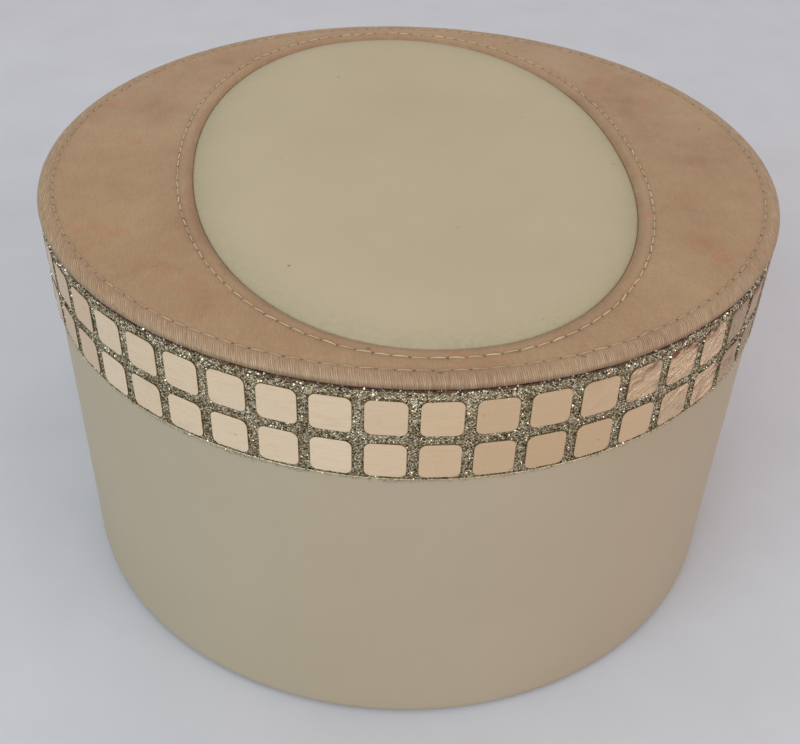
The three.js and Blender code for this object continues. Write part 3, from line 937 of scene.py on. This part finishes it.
# Base wrap, with its rounded foot and turned edges

WRAP_R, WRAP_THICK = 74.3, 0.5
WRAP_LOW, WRAP_TOP = 0.3, 66.0
FOOT_ROUND, TOP_ROUND = 2.0, 0.7
TURNED_UNDER, TURNED_IN, TURNED_THICK = 66.0, 71.8, 0.3
WALL_LEVELS = np.linspace(4, 64, 13)
foot = (WRAP_R - FOOT_ROUND, WRAP_LOW + FOOT_ROUND)
wrap_outside = [(TURNED_UNDER, WRAP_LOW), *arc(*foot, FOOT_ROUND, -90, 0),
                *[(WRAP_R, z) for z in WALL_LEVELS],
                *arc(WRAP_R - TOP_ROUND, WRAP_TOP - TOP_ROUND, TOP_ROUND, 0, 90), (TURNED_IN, WRAP_TOP)]
wrap_inside = [(TURNED_IN, WRAP_TOP - TURNED_THICK), (WRAP_R - WRAP_THICK, WRAP_TOP - TURNED_THICK),
               (WRAP_R - WRAP_THICK, foot[1] + 0.1), *arc(*foot, FOOT_ROUND - WRAP_THICK, 0, -90),
               (TURNED_UNDER, WRAP_LOW + WRAP_THICK)]
wrap = revolve("base_leatherette_wrap", wrap_outside + wrap_inside, leatherette, WRAP_POINTS)
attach(wrap, "base")
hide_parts("base_wrap")


# Inside pieces

COLLAR_MID, COLLAR_LOW = 70.55, 58.5
FOLD_ROUND, FOLD_Z, FOLD_UNDER = 0.9, 79.57, 80.15
BOARD_HALF = 0.6
collar_outside = [(COLLAR_MID + FOLD_ROUND, COLLAR_LOW), *arc(COLLAR_MID, FOLD_Z, FOLD_ROUND, 0, 180, 13),
                  (COLLAR_MID - FOLD_ROUND, COLLAR_LOW)]
collar_inside = [(COLLAR_MID - BOARD_HALF, COLLAR_LOW), (COLLAR_MID - BOARD_HALF, FOLD_UNDER),
                 (COLLAR_MID + BOARD_HALF, FOLD_UNDER)]
collar_profile = [(COLLAR_MID + BOARD_HALF, COLLAR_LOW), *collar_outside, *collar_inside]
collar = revolve("collar_satin", collar_profile, collar_lining, INSIDE_POINTS)
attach(collar, "base")
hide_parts("collar_wrap")

TUB_R, TUB_THICK = 69.0, 1.6
TUB_LOW, TUB_LIP_Z, LEDGE_UNDER = 4.2, 57.2, 42.5
WELL_FLOOR, LEDGE_Z = TUB_LOW + TUB_THICK, LEDGE_UNDER + TUB_THICK
TUB_INNER = TUB_R - TUB_THICK
LIP_ROUND = TUB_THICK / 2
WELL_DRAFT = 4
TUB_FOOT_R, TUB_FOOT_CORNER = 51.6, 2.0
NECK_R, SHOULDER_CORNER = 56.3, 1.4
LEDGE_CORNER = 0.7
BRIM_R, BRIM_CORNER = 55.7, 1.0
FLOOR_R, FLOOR_CORNER = 51.2, 1.1
tub_outside = [(0, TUB_LOW),
               *arc(TUB_FOOT_R, TUB_LOW + TUB_FOOT_CORNER, TUB_FOOT_CORNER, -90, -WELL_DRAFT),
               (NECK_R, LEDGE_UNDER),
               *arc(TUB_R - SHOULDER_CORNER, LEDGE_UNDER + SHOULDER_CORNER, SHOULDER_CORNER, -90, 0)]
tub_lip = arc(TUB_R - LIP_ROUND, TUB_LIP_Z, LIP_ROUND, 0, 180, 11)
tub_inside = [*arc(TUB_INNER - LEDGE_CORNER, LEDGE_Z + LEDGE_CORNER, LEDGE_CORNER, 0, -90, 5),
              *arc(BRIM_R, LEDGE_Z - BRIM_CORNER, BRIM_CORNER, 90, 180 - WELL_DRAFT, 5),
              *arc(FLOOR_R, WELL_FLOOR + FLOOR_CORNER, FLOOR_CORNER, -WELL_DRAFT, -90, 5), (0, WELL_FLOOR)]
tub = revolve("tub_moulding", tub_outside + tub_lip + tub_inside, ivory, INSIDE_POINTS)
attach(tub, "base")
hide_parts("powder_tub")


# Puff

PUFF_R = 62.0
PUFF_MID, PUFF_TOP = 53.2, 64.0
PUFF_FACE = [(0, 42.8), (24, 42.95), (43, 43.7), (55.5, 44.5)]
PUFF_BACK = [(53, 63.4), (47, 63.8), (41, PUFF_TOP), (24, PUFF_TOP), (0, PUFF_TOP)]
SIDE_ROUND = 11.1
SIDE_FROM, SIDE_TO = -43, 60
SIDE_UNEVEN = 0.006


def puff_side(count):
    return arc(PUFF_R - SIDE_ROUND, PUFF_MID, SIDE_ROUND, SIDE_FROM, SIDE_TO, count)


def puff_rings():
    """Rings from the middle of the face, round the uneven side and over to the middle of the back."""
    a = angles(PUFF_POINTS)
    source = np.random.default_rng(8)
    rings = [circle(r, z, a) for r, z in curve_through(PUFF_FACE, 2)]
    for r, z in puff_side(11):
        ring = circle(r, z, a)
        ring[:, :2] *= 1 - SIDE_UNEVEN * source.random((len(a), 1))
        rings.append(ring)
    return rings + [circle(r, z, a) for r, z in PUFF_BACK]


puff = ring_grid("puff_plush", puff_rings(), plush, False, TAU * PUFF_R)
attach(puff, "puff")
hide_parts("puff_pad")

PILE_TUFTS = 14000
TUFT_ROOT, TUFT_THICK, TUFT_LEAN = 0.15, 0.11, 0.35
TUFT_SHORT, TUFT_LONG = 0.6, 1.2


def plush_pile():
    """Short tufts that stand out all round the puff's rounded side, each a thin spike with three sides."""
    source = np.random.default_rng(9)
    side = np.array(puff_side(41))
    reach = np.concatenate([[0], np.cumsum(np.linalg.norm(np.diff(side, axis=0), axis=1))])
    slope = np.gradient(side, axis=0)
    slope /= np.linalg.norm(slope, axis=1)[:, None]
    at = source.uniform(0, reach[-1], PILE_TUFTS)
    a = source.uniform(0, TAU, PILE_TUFTS)
    radius, z = (np.interp(at, reach, values)[:, None] for values in side.T)
    along_r, along_z = (np.interp(at, reach, values)[:, None] for values in slope.T)
    outwards = np.stack([np.sin(a), -np.cos(a), 0 * a], 1)
    around_axis = np.stack([np.cos(a), np.sin(a), 0 * a], 1)
    along = outwards * along_r + UP * along_z
    normal = outwards * along_z - UP * along_r
    root = outwards * radius + UP * z - normal * TUFT_ROOT
    lean = source.normal(0, TUFT_LEAN, (PILE_TUFTS, 2))
    length = source.uniform(TUFT_SHORT, TUFT_LONG, (PILE_TUFTS, 1))
    tip = root + (normal + along * lean[:, :1] + around_axis * lean[:, 1:]) * length
    turns = (0, TAU / 3, 2 * TAU / 3)
    corners = [root + TUFT_THICK * (along * math.cos(q) + around_axis * math.sin(q)) for q in turns]
    verts = np.stack([*corners, tip], 1).reshape(-1, 3)
    faces = []
    for triangle in ((0, 1, 2), (1, 0, 3), (2, 1, 3), (0, 2, 3)):
        faces += [tuple(k + i for i in triangle) for k in range(0, len(verts), 4)]
    obj = add_mesh("plush_pile", verts, faces, plush)
    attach(obj, "puff")


plush_pile()

BACKING_LOW, BACKING_TOP = 64.3, 65.0
backing_hem = [(53, 63.75), (53.5, 63.85), (53.7, 64.1), (53.5, 64.4), (52.6, 64.55), (51.8, 64.5),
               (50.6, 64.52)]
backing_profile = [(0, BACKING_LOW), (41, BACKING_LOW), *backing_hem,
                   (41.5, BACKING_TOP), (20, BACKING_TOP), (0, BACKING_TOP)]
backing = revolve("puff_back", backing_profile, puff_satin, INSIDE_POINTS)
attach(backing, "puff")
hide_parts("puff_backing")

GRIP_LOW, GRIP_RISE = 65.3, 9.0
GRIP_ENDS = (37.0, 34.0)
GRIP_FOOT, GRIP_SHOULDER = 30, 20
GRIP_HALF_SECTION = [(8.6, 0.0), (9.0, 0.1), (9.0, 0.75), (8.7, 0.85), (8.1, 0.85), (7.8, 0.65)]


def grip_ribbon():
    """Ribbon arch with two thicker woven edges and flat sewn ends."""
    t = np.linspace(0, 1, 22)
    x = -GRIP_FOOT * (1 - t) ** 3 - GRIP_SHOULDER * (3 * (1 - t) ** 2 * t + 3 * (1 - t) * t ** 2)
    z = GRIP_LOW + GRIP_RISE * (3 * (1 - t) * t ** 2 + t ** 3)
    left = [*((-end, GRIP_LOW) for end in GRIP_ENDS), *zip(x, z)]
    line = np.array(left + [(-px, pz) for px, pz in left[-2::-1]])
    slope = np.gradient(line, axis=0)
    normal = np.stack([-slope[:, 1], slope[:, 0]], 1) / np.linalg.norm(slope, axis=1)[:, None]
    section = GRIP_HALF_SECTION + [(-y, h) for y, h in reversed(GRIP_HALF_SECTION)]
    verts = []
    for (px, pz), (nx, nz) in zip(line, normal):
        verts += [(px + nx * h, y, pz + nz * h) for y, h in section]
    faces = closed_tube(0, len(section), len(line))
    obj = add_mesh("puff_ribbon", verts, faces, puff_satin)
    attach(obj, "puff")
    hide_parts("puff_grip")


grip_ribbon()

BACKING_STITCHES, BACKING_STITCH_R, BACKING_STITCH_Z = 107, 51.2, 64.58
GRIP_STITCHES, GRIP_STITCH_X, GRIP_STITCH_Y, GRIP_STITCH_Z = 5, 35.5, 7.4, 66.04


def on_backing(t):
    return np.array([BACKING_STITCH_R * math.sin(t * TAU), -BACKING_STITCH_R * math.cos(t * TAU), 0])


def across_grip(x):
    """The line of stitches over one sewn end of the ribbon."""
    return lambda t: np.array([x, GRIP_STITCH_Y * (2 * t - 1), 0])


stitches("backing_stitches", BACKING_STITCHES, on_backing, BACKING_STITCH_Z,
         "puff", puff_thread)
for name, x in (("grip_stitches_left", -GRIP_STITCH_X), ("grip_stitches_right", GRIP_STITCH_X)):
    stitches(name, GRIP_STITCHES, across_grip(x), GRIP_STITCH_Z, "puff", puff_thread)


# Finishes on the CAD nodes that stay

FINISHES = {"base_wall": board, "base_floor": board, "neck_collar": board,
            "lid_rim": board, "lid_board": board, "inset_board": board,
            "bottom_cover": bottom_paper, "floor_lining": lining, "lid_lining": lining,
            "lid_foam": wadding, "inset_padding": wadding}
for name, finish in FINISHES.items():
    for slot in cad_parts[name].material_slots:
        slot.material = finish


# Stage and light, in metres

FLOOR_HALF = 3.0
floor_cloth = mottled("floor_cloth", (198, 195, 200), (204, 201, 206), 30, (0.85, 0.95), 1500, 0.2)
floor_corners = np.array([(-1, -1, 0), (1, -1, 0), (1, 1, 0), (-1, 1, 0)]) * FLOOR_HALF
floor = add_mesh("floor", floor_corners / MM, [(0, 1, 2, 3)], floor_cloth)

world = bpy.data.worlds.new("studio")
world.use_nodes = True
background = world.node_tree.nodes["Background"]
background.inputs["Color"].default_value = (1.0, 0.99, 0.98, 1)
background.inputs["Strength"].default_value = 0.53
bpy.context.scene.world = world

LIT_POINT = Vector((0, 0, 0.05))


def area_light(name, location, size, power, color=(1, 1, 1)):
    data = bpy.data.lights.new(name, "AREA")
    data.size = size
    data.energy = power
    data.color = color
    obj = bpy.data.objects.new(name, data)
    obj.location = location
    obj.rotation_euler = (LIT_POINT - Vector(location)).to_track_quat("-Z", "Y").to_euler()
    bpy.context.scene.collection.objects.link(obj)


area_light("overhead", (0.0, 0.05, 1.15), 1.2, 2.6)
area_light("left_window", (-0.9, -0.9, 0.8), 1.0, 11.0, (0.66, 0.91, 1.0))
area_light("right_lamp", (0.9, -0.9, 0.7), 0.8, 5.6, (1.0, 0.885, 0.815))


# Camera, placed as the photograph was taken

CAMERA_AT = (-0.0263, -0.2059, 0.1932)
CAMERA_AIM = Vector((0.0975, 0.7811, -0.6167))
CAMERA_ROLL = 0.0337
camera_data = bpy.data.cameras.new("camera")
camera_data.sensor_width = 36
camera_data.lens = 49.42
camera_data.clip_start = 0.01
camera = bpy.data.objects.new("camera", camera_data)
camera.location = CAMERA_AT
aim = CAMERA_AIM.to_track_quat("-Z", "Y").to_matrix()
camera.rotation_euler = (aim @ Matrix.Rotation(CAMERA_ROLL, 3, "Z")).to_euler()
bpy.context.scene.collection.objects.link(camera)
bpy.context.scene.camera = camera
bpy.context.scene.view_settings.view_transform = "Standard"
